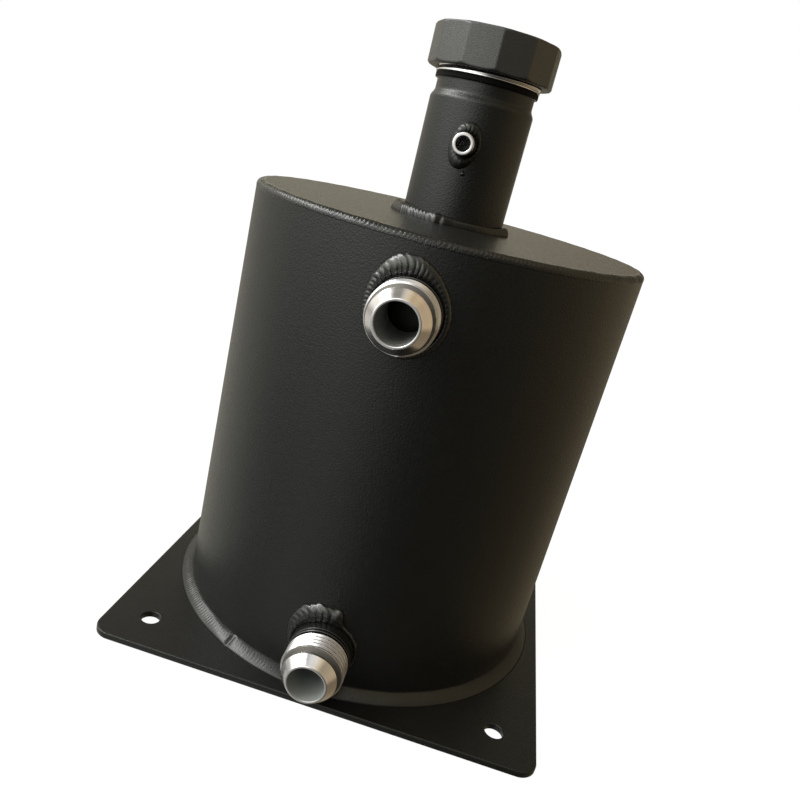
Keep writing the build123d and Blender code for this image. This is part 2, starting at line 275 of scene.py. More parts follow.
def coat_material(name, roughness, peel, grain, shine=0.5):
    """Black powder coat: orange peel under a finer grain, and a slightly uneven gloss."""
    material, tree, shader, place = start_material(name, Specular_IOR_Level=shine)
    vary(tree, shader, "Base Color", noise(tree, place, 160.0),
         (0.35, darker(COAT_SHADE, 0.85)), (0.65, COAT_SHADE))
    vary(tree, shader, "Roughness", noise(tree, place, 900.0),
         (0.3, roughness * 0.88), (0.7, roughness * 1.12))
    soft = maths(tree, "MULTIPLY", noise(tree, place, 1400.0, detail=1.0), peel)
    fine = maths(tree, "MULTIPLY", noise(tree, place, 3000.0, detail=1.0), grain)
    add_bump(tree, shader, maths(tree, "ADD", soft, fine), MM)
    return material


def turned_place(tree, place, level):
    """Distance from a turning axis and distance along it, for tool marks.

    The axis leaves the tank's axis along -Y at a level; level None means the tank's own axis.
    """
    x, y, z = add_node(tree, "ShaderNodeSeparateXYZ", Vector=place).outputs
    side, along = (y, z) if level is None else (maths(tree, "SUBTRACT", z, level * MM), y)
    squares = maths(tree, "ADD", maths(tree, "MULTIPLY", x, x),
                    maths(tree, "MULTIPLY", side, side))
    radius = maths(tree, "SQRT", squares)
    return add_node(tree, "ShaderNodeCombineXYZ", X=radius, Y=along).outputs[0]


def turned_metal(name, level, roughness):
    """Bright metal with fine rings left by the lathe tool."""
    material, tree, shader, place = start_material(name, Metallic=1.0)
    rings = turned_place(tree, place, level)
    lines = noise(tree, rings, 3000.0, detail=3.0, roughness=0.7)
    vary(tree, shader, "Base Color", lines, (0.35, darker(TURNED_SHADE, 0.86)),
         (0.6, TURNED_SHADE))
    vary(tree, shader, "Roughness", noise(tree, rings, 500.0),
         (0.3, roughness * 0.8), (0.7, roughness * 1.3))
    add_bump(tree, shader, lines, 0.006 * MM)
    return material


def anodised_metal(name):
    """Black anodising over blasted metal: a matt, finely pitted surface."""
    material, tree, shader, place = start_material(name, Specular_IOR_Level=0.85)
    pits = noise(tree, place, 2600.0, roughness=0.6)
    vary(tree, shader, "Base Color", pits, (0.35, ANODISED_LOW), (0.65, ANODISED_HIGH))
    vary(tree, shader, "Roughness", noise(tree, place, 700.0), (0.3, 0.34), (0.7, 0.42))
    add_bump(tree, shader, pits, 0.1 * MM)
    return material


def plain_material(name, shade, roughness, metallic=1.0, shine=0.5):
    """Sheet or bored metal, rubber or coat, often toned as painted shade: a cloudy colour and a
    fine grain.
    """
    material, tree, shader, place = start_material(name, Metallic=metallic,
                                                   Specular_IOR_Level=shine)
    cloud = noise(tree, place, 90.0, detail=3.0)
    vary(tree, shader, "Base Color", cloud, (0.3, darker(shade, 0.85)), (0.7, shade))
    vary(tree, shader, "Roughness", cloud, (0.3, roughness * 0.85), (0.7, roughness * 1.15))
    add_bump(tree, shader, noise(tree, place, 1800.0), 0.01 * MM)
    return material


coat = coat_material("powder_coat", roughness=0.35, peel=0.1, grain=0.05)
weld_coat = coat_material("powder_coat_on_weld", roughness=0.3, peel=0.03, grain=0.015)
bead_coat = coat_material("powder_coat_on_bead", roughness=0.26, peel=0.03, grain=0.015,
                          shine=0.9)
rim_coat = coat_material("powder_coat_on_rim", roughness=0.22, peel=0.16, grain=0.08,
                         shine=0.55)
inlet_metal = turned_metal("turned_aluminium_inlet", INLET_HEIGHT, roughness=0.14)
outlet_metal = turned_metal("turned_aluminium_outlet", OUTLET_HEIGHT, roughness=0.14)
vent_metal = turned_metal("turned_aluminium_vent", VENT_HEIGHT, roughness=0.16)
neck_metal = turned_metal("turned_aluminium_neck", None, roughness=0.16)
cap_black = anodised_metal("black_anodised_cap")
seal_black = plain_material("seal_rubber", (0.02, 0.02, 0.02), 0.7, metallic=0.0)
# Painted light and shade: the two bores are one bored aluminium, each toned to stand in for the
# light inside it
inlet_bore_painted_light = plain_material("bored_aluminium_inlet_painted_light", (0.42, 0.43, 0.42), 0.5, metallic=0.6)
outlet_bore_painted_light = plain_material("bored_aluminium_outlet_painted_light", (0.3, 0.315, 0.31), 0.5, metallic=0.0)
# Painted shade: darkened metal standing in for the shade in the fittings' groove and thread
# valleys
groove_painted_shade = plain_material("aluminium_groove_painted_shade", (0.15, 0.14, 0.13), 0.42,
                              metallic=0.6)
# Painted shade: the inner sheet parts, darkened to stand in for the dark inside of the closed
# tank
sheet_metal_painted_shade = plain_material("aluminium_painted_shade", (0.045, 0.045, 0.043), 0.5)
# Painted shade: the coat on the neck's rim under the cap, near black to stand in for the cap's
# shadow
painted_shade_under_cap = plain_material("coat_painted_shade_under_cap", (0.003, 0.003, 0.003), 0.6, metallic=0.0,
                              shine=0.1)


# Mesh helpers; points are in millimetres

def upright(radius, angle, height):
    """The point at a radius, angle and height about the tank's axis."""
    return radius * cos(angle), radius * sin(angle), height


def facing_front(level):
    """Points about a line that leaves the tank's axis along -Y at a level."""
    def place(radius, angle, distance):
        return radius * cos(angle), -distance, level + radius * sin(angle)
    return place


def grid_faces(rows, columns):
    """Quads of a grid of points that closes on itself both ways, stored row by row."""
    faces = []
    for row in range(rows):
        after = (row + 1) % rows
        for column in range(columns):
            beside = (column + 1) % columns
            faces.append((row * columns + column, row * columns + beside,
                          after * columns + beside, after * columns + column))
    return faces


def soften(corners):
    """Rounds the corners of a closed profile; a corner's third value is its own radius."""
    rounded = []
    for index, (across, along, *own) in enumerate(corners):
        here = Vector((across, along))
        back = Vector(corners[index - 1][:2]) - here
        on = Vector(corners[(index + 1) % len(corners)][:2]) - here
        size = min(own[0] if own else EDGE_RADIUS, 0.4 * back.length, 0.4 * on.length)
        start = here + back.normalized() * size
        end = here + on.normalized() * size
        rounded.append(tuple(here + back.normalized() * 1.2 * size))
        for step in range(EDGE_STEPS + 1):
            t = step / EDGE_STEPS
            rounded.append(tuple((1 - t) ** 2 * start + 2 * t * (1 - t) * here + t * t * end))
        rounded.append(tuple(here + on.normalized() * 1.2 * size))
    return rounded


def divide(profile, low, high, step):
    """Adds points to a closed profile's long runs between two places along its axis."""
    finer = []
    for index, here in enumerate(profile):
        finer.append(here)
        after = profile[(index + 1) % len(profile)]
        middle = (here[1] + after[1]) / 2
        parts = int(abs(after[1] - here[1]) / step)
        if low <= middle <= high:
            for part in range(1, parts):
                t = part / parts
                finer.append((here[0] + t * (after[0] - here[0]),
                              here[1] + t * (after[1] - here[1])))
    return finer


def thread(crest, depth, pitch, low, high):
    """Cuts a right-handed thread, with flats on crest and root, between two places on an axis.

    Only radii near the crest's are cut, so the bore of the same profile stays plain.
    """
    def cut(radius, angle, along):
        if not low <= along <= high or radius < crest - depth:
            return radius
        turn = (along / pitch - angle / (2 * pi)) % 1
        groove = min(max(THREAD_FLANK * (1 - abs(2 * turn - 1)) - THREAD_CREST, 0), 1)
        return min(radius, crest - depth * groove)
    return cut


def turned(profile, place, segments, cut=None):
    """Points and faces of a closed profile turned about an axis."""
    points = []
    for radius, along in profile:
        for segment in range(segments):
            angle = 2 * pi * segment / segments
            here = cut(radius, angle, along) if cut else radius
            points.append(place(here, angle, along))
    return points, grid_faces(len(profile), segments)


def link_piece(name, mesh, materials, body, nodes):
    """Puts a finished mesh in the scene, rides it on a body and lets it stand for CAD nodes."""
    for material in materials:
        mesh.materials.append(material)
    piece = bpy.data.objects.new(name, mesh)
    bpy.context.scene.collection.objects.link(piece)
    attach(piece, body)
    if nodes:
        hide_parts(*nodes)
    return piece


def add_piece(name, shape, materials, body, slot, *nodes):
    """Makes a smooth piece from points in millimetres and faces."""
    points, faces = shape
    mesh = bpy.data.meshes.new(name)
    mesh.from_pydata([[MM * value for value in point] for point in points], [], faces)
    work = bmesh.new()
    work.from_mesh(mesh)
    bmesh.ops.remove_doubles(work, verts=work.verts, dist=MERGE_DISTANCE * MM)
    bmesh.ops.recalc_face_normals(work, faces=work.faces)
    work.to_mesh(mesh)
    work.free()
    mesh.shade_smooth()
    return link_piece(name, mesh, materials, body, nodes)


def paint(piece, index, chosen):
    """Gives the material of that index to the faces whose centre, in millimetres, is chosen."""
    for face in piece.data.polygons:
        if chosen(face.center / MM):
            face.material_index = index


# Weld beads

def ripples(count, seed):
    """A function of the share of the way round, which gives a ripple's height and reach."""
    dice = random.Random(seed)
    lengths = np.array([dice.uniform(*RIPPLE_LENGTHS) for _ in range(count)])
    starts = np.concatenate([[0], np.cumsum(lengths) / lengths.sum()])
    heights = [dice.uniform(*RIPPLE_HEIGHTS) for _ in range(count)]
    reaches = [dice.uniform(-1, 1) for _ in range(count)]

    def at(share):
        share %= 1
        index = min(int(np.searchsorted(starts, share, "right")) - 1, count - 1)
        t = (share - starts[index]) / (starts[index + 1] - starts[index])
        lobe = max(sin(pi * min(max(t, 0), 1) ** RIPPLE_LEAN), 0) ** RIPPLE_ROUNDNESS
        return heights[index] * (lobe - 0.5), reaches[index] * lobe
    return at


def hump(angle, middle, width):
    """1 at an angle in degrees, falling smoothly to 0 away from it."""
    away = (angle - middle + 180) % 360 - 180
    return exp(-(away / width) ** 2)


def bead(foot, pipe_radius, leg, rise, pitch, depth, wide, seed):
    """Points and faces of a rippled weld round a pipe.

    foot(distance, angle, lift) gives a point over the wall; depth(degrees) is the ripples'
    depth and wide(degrees) the bead's size there. The last two rows lie inside the wall.
    """
    count = round(2 * pi * (pipe_radius + leg / 2) / pitch)
    ripple = ripples(count, seed)
    columns = count * BEAD_COLUMNS
    places = [360 * column / columns for column in range(columns)]
    sizes = [(wide(angle), depth(angle)) for angle in places]
    points = []
    for section in BEAD_SECTIONS:
        theta = radians(section)
        over = max(sin(theta), 0)
        for column, (size, deep) in enumerate(sizes):
            share = column / columns
            height, reach = ripple(share - BEAD_LAG * (1 - over) / count)
            distance = pipe_radius + leg * size * (BEAD_CENTRE + BEAD_HALF * cos(theta)) + (
                deep * height + BEAD_REACH * deep * reach) * cos(theta)
            fade = BEAD_TOE_RIPPLE + (1 - BEAD_TOE_RIPPLE) * over
            lift = (rise * size ** 0.5 + deep * height * fade) * sin(theta)
            points.append(foot(distance, 2 * pi * share, lift))
    for distance in (pipe_radius - 0.3, pipe_radius + 0.6 * leg):
        for column in range(columns):
            points.append(foot(distance, 2 * pi * column / columns, -BEAD_ROOT_DEPTH * rise))
    return points, grid_faces(len(BEAD_SECTIONS) + 2, columns)


def on_tube(tube_radius, level):
    """Points over the front of an upright tube, about a line along -Y at a level."""
    def foot(distance, angle, lift):
        side = distance * cos(angle)
        front = sqrt(tube_radius ** 2 - side ** 2)
        return side, -(front + lift), level + distance * sin(angle)
    return foot


def on_top(distance, angle, lift):
    """Points over the tank's flat top, about its axis."""
    return upright(distance, angle, TANK_HEIGHT + lift)


def rippled_ring(outline, inside, pitch, depth, bow, seed, swell=lambda angle: 0.0):
    """A weld turned about the tank's axis, with bowed ripples across its face.

    outline holds (radius, height, out, up) points from toe to toe, with the face's direction
    at each, and inside the (radius, height) points of its hidden back. depth(degrees) is the
    ripples' depth there, and swell(degrees) lifts the middle of the face.
    """
    count = round(2 * pi * outline[0][0] / pitch)
    ripple = ripples(count, seed)
    columns = count * RING_COLUMNS
    places = [360 * column / columns for column in range(columns)]
    lifts = [(depth(angle), swell(angle)) for angle in places]
    points = []
    for row, (radius, height, out, up) in enumerate(outline):
        across = 2 * row / (len(outline) - 1) - 1
        fade = 1 - across ** 4
        for column, (deep, raised) in enumerate(lifts):
            share = column / columns
            lift = fade * (deep * ripple(share + bow * across ** 2 / count)[0] + raised)
            points.append(upright(radius + out * lift, 2 * pi * share, height + up * lift))
    for radius, height in inside:
        points += [upright(radius, 2 * pi * column / columns, height)
                   for column in range(columns)]
    return points, grid_faces(len(outline) + len(inside), columns)


# Pieces

def make_base_plate():
    """The square plate with rounded edges and four drilled holes."""
    place = PLATE_SIDE / 2 - PLATE_CORNER_RADIUS

    def outline(inset, height):
        radius = PLATE_CORNER_RADIUS - inset
        ring = []
        for quarter in range(4):
            corner_x = place * (1 if quarter in (0, 3) else -1)
            corner_y = place * (1 if quarter in (0, 1) else -1)
            for step in range(PLATE_CORNER_STEPS + 1):
                angle = pi / 2 * (quarter + step / PLATE_CORNER_STEPS)
                ring.append((corner_x + radius * cos(angle), corner_y + radius * sin(angle),
                             height))
        return ring

    def hole(x, y, inset, height):
        radius = MOUNT_HOLE_RADIUS + inset * MOUNT_HOLE_EDGE_SHARE
        angles = [2 * pi * step / MOUNT_HOLE_STEPS for step in range(MOUNT_HOLE_STEPS)]
        return [(x + radius * cos(angle), y + radius * sin(angle), height) for angle in angles]

    def closed(ring):
        return zip(ring, ring[1:] + ring[:1])

    work = bmesh.new()
    underside, top = [], []

    def wall(rings):
        made = [[work.verts.new([MM * value for value in point]) for point in ring]
                for ring in rings]
        for low, high in zip(made, made[1:]):
            for (here, after), (above, beyond) in zip(closed(low), closed(high)):
                work.faces.new((here, after, beyond, above))
        for ring, rim in ((made[0], underside), (made[-1], top)):
            rim += [work.edges.get(ends) for ends in closed(ring)]

    wall([outline(inset, height) for inset, height in PLATE_EDGE])
    for x in (-MOUNT_HOLE_PLACE, MOUNT_HOLE_PLACE):
        for y in (-MOUNT_HOLE_PLACE, MOUNT_HOLE_PLACE):
            wall([hole(x, y, inset, height) for inset, height in PLATE_EDGE])
    flat = []
    for edges in (underside, top):
        filled = bmesh.ops.triangle_fill(work, use_beauty=True, edges=edges)["geom"]
        flat += [item for item in filled if isinstance(item, bmesh.types.BMFace)]
    bmesh.ops.recalc_face_normals(work, faces=work.faces)
    for face in work.faces:
        face.smooth = True
    for face in flat:
        face.smooth = False
    mesh = bpy.data.meshes.new("base_plate_coated")
    work.to_mesh(mesh)
    work.free()
    link_piece("base_plate_coated", mesh, [coat], "tank", ["base_plate"])


def make_base_weld():
    """The fillet weld round the shell's foot: nearly smooth, but rippled at the front left."""
    slant = hypot(BASE_WELD_FOOT, BASE_WELD_RISE)
    out, up = BASE_WELD_RISE / slant, BASE_WELD_FOOT / slant
    outline = []
    for step in range(RING_STEPS + 1):
        t = step / RING_STEPS
        crown = 2 * t * (1 - t) * BASE_WELD_CROWN
        outline.append((SHELL_RADIUS + BASE_WELD_FOOT * (1 - t) + out * crown,
                        PLATE_THICKNESS + BASE_WELD_RISE * t + up * crown, out, up))
    inside = [(SHELL_RADIUS - 1, PLATE_THICKNESS + BASE_WELD_RISE),
              (SHELL_RADIUS - 1, PLATE_THICKNESS - 0.5),
              (SHELL_RADIUS + BASE_WELD_FOOT - 0.5, PLATE_THICKNESS - 0.5)]

    def depth(angle):
        return 0.04 + 0.32 * hump(angle, 212, 20)

    def swell(angle):
        wave = 0.05 * sin(radians(31 * angle))
        return 0.35 * hump(angle, 237, 4) - 0.6 * hump(angle, 242.5, 0.8) + wave
    shape = rippled_ring(outline, inside, pitch=1.6, depth=depth, bow=1.3, seed=5, swell=swell)
    add_piece("base_weld_bead", shape, [weld_coat], "tank", "black_coat", "base_weld")


def make_top_rim():
    """The ground rim, with the marks of the weld's ripples left across it."""
    start = TANK_HEIGHT - TOP_RIM_RADIUS
    centre = SHELL_RADIUS - TOP_RIM_RADIUS
    outline = [(SHELL_RADIUS, start - TOP_RIM_DOWN, 1, 0)]
    for step in range(RING_STEPS + 1):
        angle = pi / 2 * step / RING_STEPS
        out, up = cos(angle), sin(angle)
        outline.append((centre + TOP_RIM_RADIUS * out, start + TOP_RIM_RADIUS * up, out, up))
    outline.append((centre - TOP_RIM_IN, TANK_HEIGHT, 0, 1))
    inside = [(centre - 1.6, TANK_HEIGHT - 0.5), (centre - 1.6, start - 0.6),
              (SHELL_RADIUS - 0.3, start - 0.6)]

    def depth(angle):
        return 0.25 + 0.1 * sin(radians(37 * angle))
    shape = rippled_ring(outline, inside, pitch=1.8, depth=depth, bow=1.8, seed=6)
    add_piece("top_rim_ground", shape, [rim_coat], "tank", "black_coat", "top_seam_weld")


def make_filler_neck():
    """The turned neck: coated outside, bare on its thread and in its bore, painted shade under
    the cap.
    """
    corners = [
        (NECK_BORE_RADIUS, NECK_FOOT), (NECK_RADIUS, NECK_FOOT, 0.1),
        (NECK_RADIUS, NECK_SHOULDER, 0.7), (NECK_WAIST_RADIUS, NECK_WAIST_BOTTOM, 0.8),
        (NECK_WAIST_RADIUS, NECK_RIM_BOTTOM, 0.2), (NECK_RIM_RADIUS, NECK_RIM_BOTTOM, 0.4),
        (NECK_RIM_RADIUS, NECK_RIM_TOP, 0.4), (NECK_NOTCH_RADIUS, NECK_RIM_TOP, 0.1),
        (NECK_NOTCH_RADIUS, NECK_THREAD_BOTTOM, 0.1), (NECK_RADIUS, NECK_THREAD_BOTTOM, 0.1),
        (NECK_RADIUS, NECK_TOP - NECK_TOP_CHAMFER, 0.1),
        (NECK_RADIUS - NECK_TOP_CHAMFER, NECK_TOP, 0.2), (NECK_BORE_RADIUS, NECK_TOP, 0.2)]
    profile = divide(soften(corners), NECK_THREAD_BOTTOM, NECK_TOP, NECK_THREAD_STEP)
    cut = thread(NECK_RADIUS, NECK_THREAD_DEPTH, NECK_THREAD_PITCH,
                 NECK_THREAD_BOTTOM + NECK_THREAD_RUN_IN, NECK_TOP)
    piece = add_piece("filler_neck_turned", turned(profile, upright, NECK_SEGMENTS, cut),
                      [coat, neck_metal, painted_shade_under_cap], "tank", "black_coat", "filler_neck")
    inner = NECK_BORE_RADIUS + 0.3
    # Painted shade on the rim and notch under the cap's overhang
    paint(piece, 2, lambda at: at.z > NECK_RIM_BOTTOM and at.xy.length > inner)
    paint(piece, 1, lambda at: at.z > NECK_BARE_BOTTOM or at.xy.length < inner)


def make_cap():
    """The twelve-sided cap: slightly crowned flats, a small turned chamfer, a threaded bore and
    a closed top. The small steps between its rows round its edges."""
    turn = 2 * pi / CAP_SIDES
    apothem = CAP_CORNER_RADIUS * cos(turn / 2)
    chamfer_radius = CAP_CORNER_RADIUS - CAP_TOP_CHAMFER_WIDTH
    slope = CAP_TOP_CHAMFER_HEIGHT / CAP_TOP_CHAMFER_WIDTH
    places = [(side, share) for side in range(CAP_SIDES) for share in CAP_FLAT_PLACES]
    angles = [radians(CAP_CORNER_ANGLE) + turn * (side + 0.5 + share) for side, share in places]
    flats = [min(apothem / cos(turn * share) + CAP_FLAT_CROWN * (1 - 4 * share * share),
                 CAP_CORNER_RADIUS - CAP_CORNER_CUT) for _, share in places]
    columns = len(places)

    def ring(radius, height):
        return [upright(radius, angle, height) for angle in angles]

    def thread_ring(height):
        points = []
        for angle in angles:
            part = (height / NECK_THREAD_PITCH - angle / (2 * pi)) % 1
            groove = CAP_THREAD_DEPTH * max(1 - abs(2 * part - 1) * CAP_THREAD_FLANK, 0)
            points.append(upright(CAP_BORE_RADIUS + groove, angle, height))
        return points

    def side_ring(inset, height):
        return [upright(flat - inset, angle, height(flat)) for flat, angle in zip(flats, angles)]

    def rim_ring(inset, height):
        return [upright(min(flat - CAP_TOP_RIM_INSET, chamfer_radius) - inset, angle, height)
                for flat, angle in zip(flats, angles)]

    def top_edge(flat):
        return CAP_TOP - slope * max(flat - chamfer_radius, 0) - CAP_TOP_EDGE

    def foot_edge(flat):
        return CAP_BOTTOM + max(flat - CAP_CORNER_RADIUS + CAP_FOOT_CHAMFER, CAP_FOOT_LEAST)

    rows = [
        [(0, 0, CAP_BORE_TOP)] * columns,
        ring(CAP_BORE_RADIUS - CAP_BORE_EDGE, CAP_BORE_TOP),
        ring(CAP_BORE_RADIUS, CAP_BORE_TOP - CAP_BORE_EDGE)]
    height = CAP_THREAD_TOP
    while height > CAP_THREAD_BOTTOM:
        rows.append(thread_ring(height))
        height -= CAP_THREAD_STEP
    rows += [
        ring(CAP_BORE_RADIUS, CAP_BOTTOM + 0.7),
        ring(CAP_BORE_RADIUS + 0.05, CAP_BOTTOM + CAP_MOUTH_CHAMFER),
        ring(CAP_BORE_RADIUS + CAP_MOUTH_CHAMFER, CAP_BOTTOM + 0.05),
        ring(CAP_BORE_RADIUS + CAP_MOUTH_CHAMFER + 0.3, CAP_BOTTOM),
        ring(apothem - 1.0, CAP_BOTTOM),
        side_ring(0.7, lambda flat: CAP_BOTTOM + 0.02),
        side_ring(0.15, lambda flat: foot_edge(flat) - 0.15),
        side_ring(0, lambda flat: foot_edge(flat) + 0.15),
        side_ring(0, lambda flat: foot_edge(flat) + 0.6),
        side_ring(0, lambda flat: top_edge(flat) - 0.6),
        side_ring(0, lambda flat: top_edge(flat) - 0.18),
        side_ring(0.06, lambda flat: top_edge(flat) + 0.04),
        rim_ring(-0.06, CAP_TOP - 0.05),
        rim_ring(0.12, CAP_TOP),
        rim_ring(0.6, CAP_TOP),
        ring(chamfer_radius / 2, CAP_TOP),
        [(0, 0, CAP_TOP)] * columns]
    points = [point for row in rows for point in row]
    faces = grid_faces(len(rows), columns)[:-columns]
    add_piece("filler_cap_twelve_sided", (points, faces), [cap_black], "screw_cap",
              "black_anodised", "filler_cap")


def make_fitting(name, tip, level, metal, bore, shade_groove, node):
    """A male hose fitting: nose, cone, groove, thread, relief and a collar under the coat."""
    cone_width = FITTING_CONE_RADIUS - FITTING_NOSE_RADIUS
    cone_end = tip - FITTING_NOSE_EDGE - cone_width / tan(radians(FITTING_CONE_ANGLE))
    groove_start = cone_end - FITTING_LAND
    groove_end = groove_start - FITTING_GROOVE_LENGTH
    thread_start = groove_end - FITTING_THREAD_CHAMFER
    thread_end = thread_start - FITTING_THREAD_LENGTH
    relief_end = thread_end - FITTING_RELIEF_LENGTH
    ridge_end = relief_end - FITTING_RIDGE_LENGTH
    notch_end = ridge_end - FITTING_NOTCH_LENGTH
    notch_radius = FITTING_COLLAR_RADIUS - FITTING_NOTCH_DEPTH
    corners = [
        (FITTING_BORE_RADIUS, FITTING_INNER_END), (FITTING_COLLAR_RADIUS, FITTING_INNER_END),
        (FITTING_COLLAR_RADIUS, notch_end - FITTING_NOTCH_SLOPE, 0.2),
        (notch_radius, notch_end, 0.1), (notch_radius, ridge_end, 0.1),
        (FITTING_COLLAR_RADIUS, ridge_end + FITTING_NOTCH_SLOPE, 0.2),
        (FITTING_COLLAR_RADIUS, relief_end, 0.4), (FITTING_RELIEF_RADIUS, relief_end, 0.15),
        (FITTING_RELIEF_RADIUS, thread_end, 0.15), (FITTING_THREAD_RADIUS, thread_end, 0.2),
        (FITTING_THREAD_RADIUS, thread_start, 0.2), (FITTING_GROOVE_RADIUS, groove_end, 0.15),
        (FITTING_GROOVE_RADIUS, groove_start, 0.1), (FITTING_CONE_RADIUS, groove_start, 0.15),
        (FITTING_CONE_RADIUS, cone_end, 0.2), (FITTING_NOSE_RADIUS, tip, 0.25),
        (FITTING_BORE_RADIUS, tip, 0.3)]
    profile = divide(soften(corners), thread_end, groove_end, FITTING_THREAD_STEP)
    cut = thread(FITTING_THREAD_RADIUS, FITTING_THREAD_DEPTH, FITTING_THREAD_PITCH,
                 thread_end, thread_start + 1)
    piece = add_piece(name, turned(profile, facing_front(level), FITTING_SEGMENTS, cut),
                      [metal, bead_coat, bore, groove_painted_shade], "tank", "turned_aluminium", node)
    outside = FITTING_BORE_RADIUS + 1
    # Where the painted shade in the groove starts
    shade_from = thread_start + FITTING_SHADED_CHAMFER if shade_groove else groove_start

    def from_axis(at):
        return hypot(at.x, at.z - level)

    def in_painted_shade(at):
        """Where painted shade goes: the thread's valleys, and the groove with part of the chamfer
        when the groove is shaded.
        """
        valley = thread_end + 0.2 < -at.y < groove_end and from_axis(at) < FITTING_SHADED_VALLEY_RADIUS
        return from_axis(at) > outside and (shade_from < -at.y < groove_start or valley)
    paint(piece, 1, lambda at: at.y > FITTING_BARE_LENGTH - tip and from_axis(at) > outside)
    # The bore's tone is painted light and shade
    paint(piece, 2, lambda at: from_axis(at) < FITTING_BORE_RADIUS + 0.05)
    # Painted shade in the groove and the thread's valleys
    paint(piece, 3, in_painted_shade)


def make_vent_pipe():
    """The breather pipe: coated outside up to its bare end, bare in its bore."""
    corners = [(VENT_BORE_RADIUS, VENT_INNER_END), (VENT_RADIUS, VENT_INNER_END),
               (VENT_RADIUS, VENT_TIP, 0.5), (VENT_BORE_RADIUS, VENT_TIP, 0.3)]
    profile = divide(soften(corners), VENT_INNER_END, VENT_TIP, VENT_STEP)
    piece = add_piece("vent_pipe_cut", turned(profile, facing_front(VENT_HEIGHT), VENT_SEGMENTS),
                      [vent_metal, coat], "tank", "turned_aluminium", "vent_pipe")
    paint(piece, 1, lambda at: at.y > VENT_BARE_LENGTH - VENT_TIP and
          hypot(at.x, at.z - VENT_HEIGHT) > VENT_BORE_RADIUS + 0.4)


def make_spatter():
    """A small drop of weld metal, slightly out of round, under the breather pipe's bead."""
    def place(radius, angle, distance):
        size = radius * (1 + 0.18 * sin(2 * angle + 0.6))
        return SPATTER_X + size * cos(angle), -distance, SPATTER_HEIGHT + size * sin(angle)
    add_piece("weld_spatter", turned(SPATTER_PROFILE, place, SPATTER_SEGMENTS), [weld_coat],
              "tank", "black_coat")


def add_weld(node, material, foot, **sizes):
    """A bead round a pipe, named after the CAD node that it stands for."""
    add_piece(node + "_bead", bead(foot, **sizes), [material], "tank", "black_coat", node)


def inlet_width(angle):
    """Wide over the top, narrow below."""
    return 0.42 + 0.74 * hump(angle, 102, 44)


def outlet_width(angle):
    """Wide over the top, with a lumpy end on the right."""
    lumps = 0.94 * hump(angle, 110, 60) + 0.2 * hump(angle, 78, 6)
    return 0.2 + lumps / (1 + exp((69 - angle) / 2.5))


def neck_width(angle):
    """Widest at the front left, with three lumps, the middle one dented."""
    lumps = 0.4 + 0.5 * hump(angle, 210, 48) + 0.3 * hump(angle, 186, 9)
    return lumps + 0.4 * hump(angle, 262, 9) - 0.2 * hump(angle, 264, 3) + (
        0.35 * hump(angle, 350, 12))


def vent_width(angle):
    """Wide above and below the pipe, and wider on its left than on its right."""
    sides = 0.36 + 0.34 * hump(angle, 180, 70)
    return sides + 0.85 * hump(angle, 88, 48) + hump(angle, 256, 42)


make_base_plate()
make_base_weld()
make_top_rim()
make_filler_neck()
make_cap()
make_fitting("inlet_fitting_threaded", INLET_TIP, INLET_HEIGHT, inlet_metal, inlet_bore_painted_light,
             shade_groove=False, node="inlet_fitting")
make_fitting("outlet_fitting_threaded", OUTLET_TIP, OUTLET_HEIGHT, outlet_metal, outlet_bore_painted_light,
             shade_groove=True, node="outlet_fitting")
make_vent_pipe()
add_weld("inlet_weld", bead_coat, on_tube(SHELL_RADIUS, INLET_HEIGHT), seed=11,
         pipe_radius=FITTING_COLLAR_RADIUS, leg=6.6, rise=2.0, pitch=2.1,
         depth=lambda angle: 0.12 + 0.4 * hump(angle, 130, 48), wide=inlet_width)
add_weld("outlet_weld", bead_coat, on_tube(SHELL_RADIUS, OUTLET_HEIGHT), seed=12,
         pipe_radius=FITTING_COLLAR_RADIUS, leg=6.6, rise=2.0, pitch=2.9,
         depth=lambda angle: 0.15 + 0.35 * hump(angle, 115, 50), wide=outlet_width)
add_weld("neck_weld", weld_coat, on_top, seed=13,
         pipe_radius=NECK_RADIUS, leg=5.2, rise=4.3, pitch=1.7,
         depth=lambda angle: 0.1 + 0.28 * hump(angle, 222, 34), wide=neck_width)
add_weld("vent_weld", weld_coat, on_tube(NECK_RADIUS, VENT_HEIGHT), seed=14,
         pipe_radius=VENT_RADIUS, leg=3.8, rise=1.9, pitch=1.9,
         depth=lambda angle: 0.1 + 0.22 * hump(angle, 110, 60), wide=vent_width)
make_spatter()

# The CAD pieces that stay as they are only get a material
for material, nodes in (
        (coat, ("tank_shell", "top_plate")),
        (seal_black, ("cap_seal",)),
        # The inner parts get painted shade
        (sheet_metal_painted_shade, ("lower_baffle", "upper_baffle", "lower_baffle_tabs",
                       "upper_baffle_tabs", "return_deflector"))):
    for node in nodes:
        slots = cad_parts[node].data.materials
        slots.clear()
        slots.append(material)


# Floor, light and camera; the floor's sizes are in metres

FLOOR_SIZE = 60.0
FLOOR_DROP = 0.0005
FLOOR_EMISSION = 0.97


def make_floor():
    """A wide white floor that only the camera sees; it is lit evenly, with a faint shadow."""
    bpy.ops.mesh.primitive_plane_add(size=FLOOR_SIZE, location=(0, 0, -FLOOR_DROP))
    floor = bpy.context.object
    floor.name = "floor"
    floor.visible_diffuse = False
    floor.visible_glossy = False
    material, tree, shader, place = start_material(
        "pale_floor", Roughness=0.9, Specular_IOR_Level=0.0, Emission_Color=(1, 1, 1, 1),
        Emission_Strength=FLOOR_EMISSION)
    vary(tree, shader, "Base Color", noise(tree, place, 30.0), (0.3, 0.08), (0.7, 0.09))
    floor.data.materials.append(material)


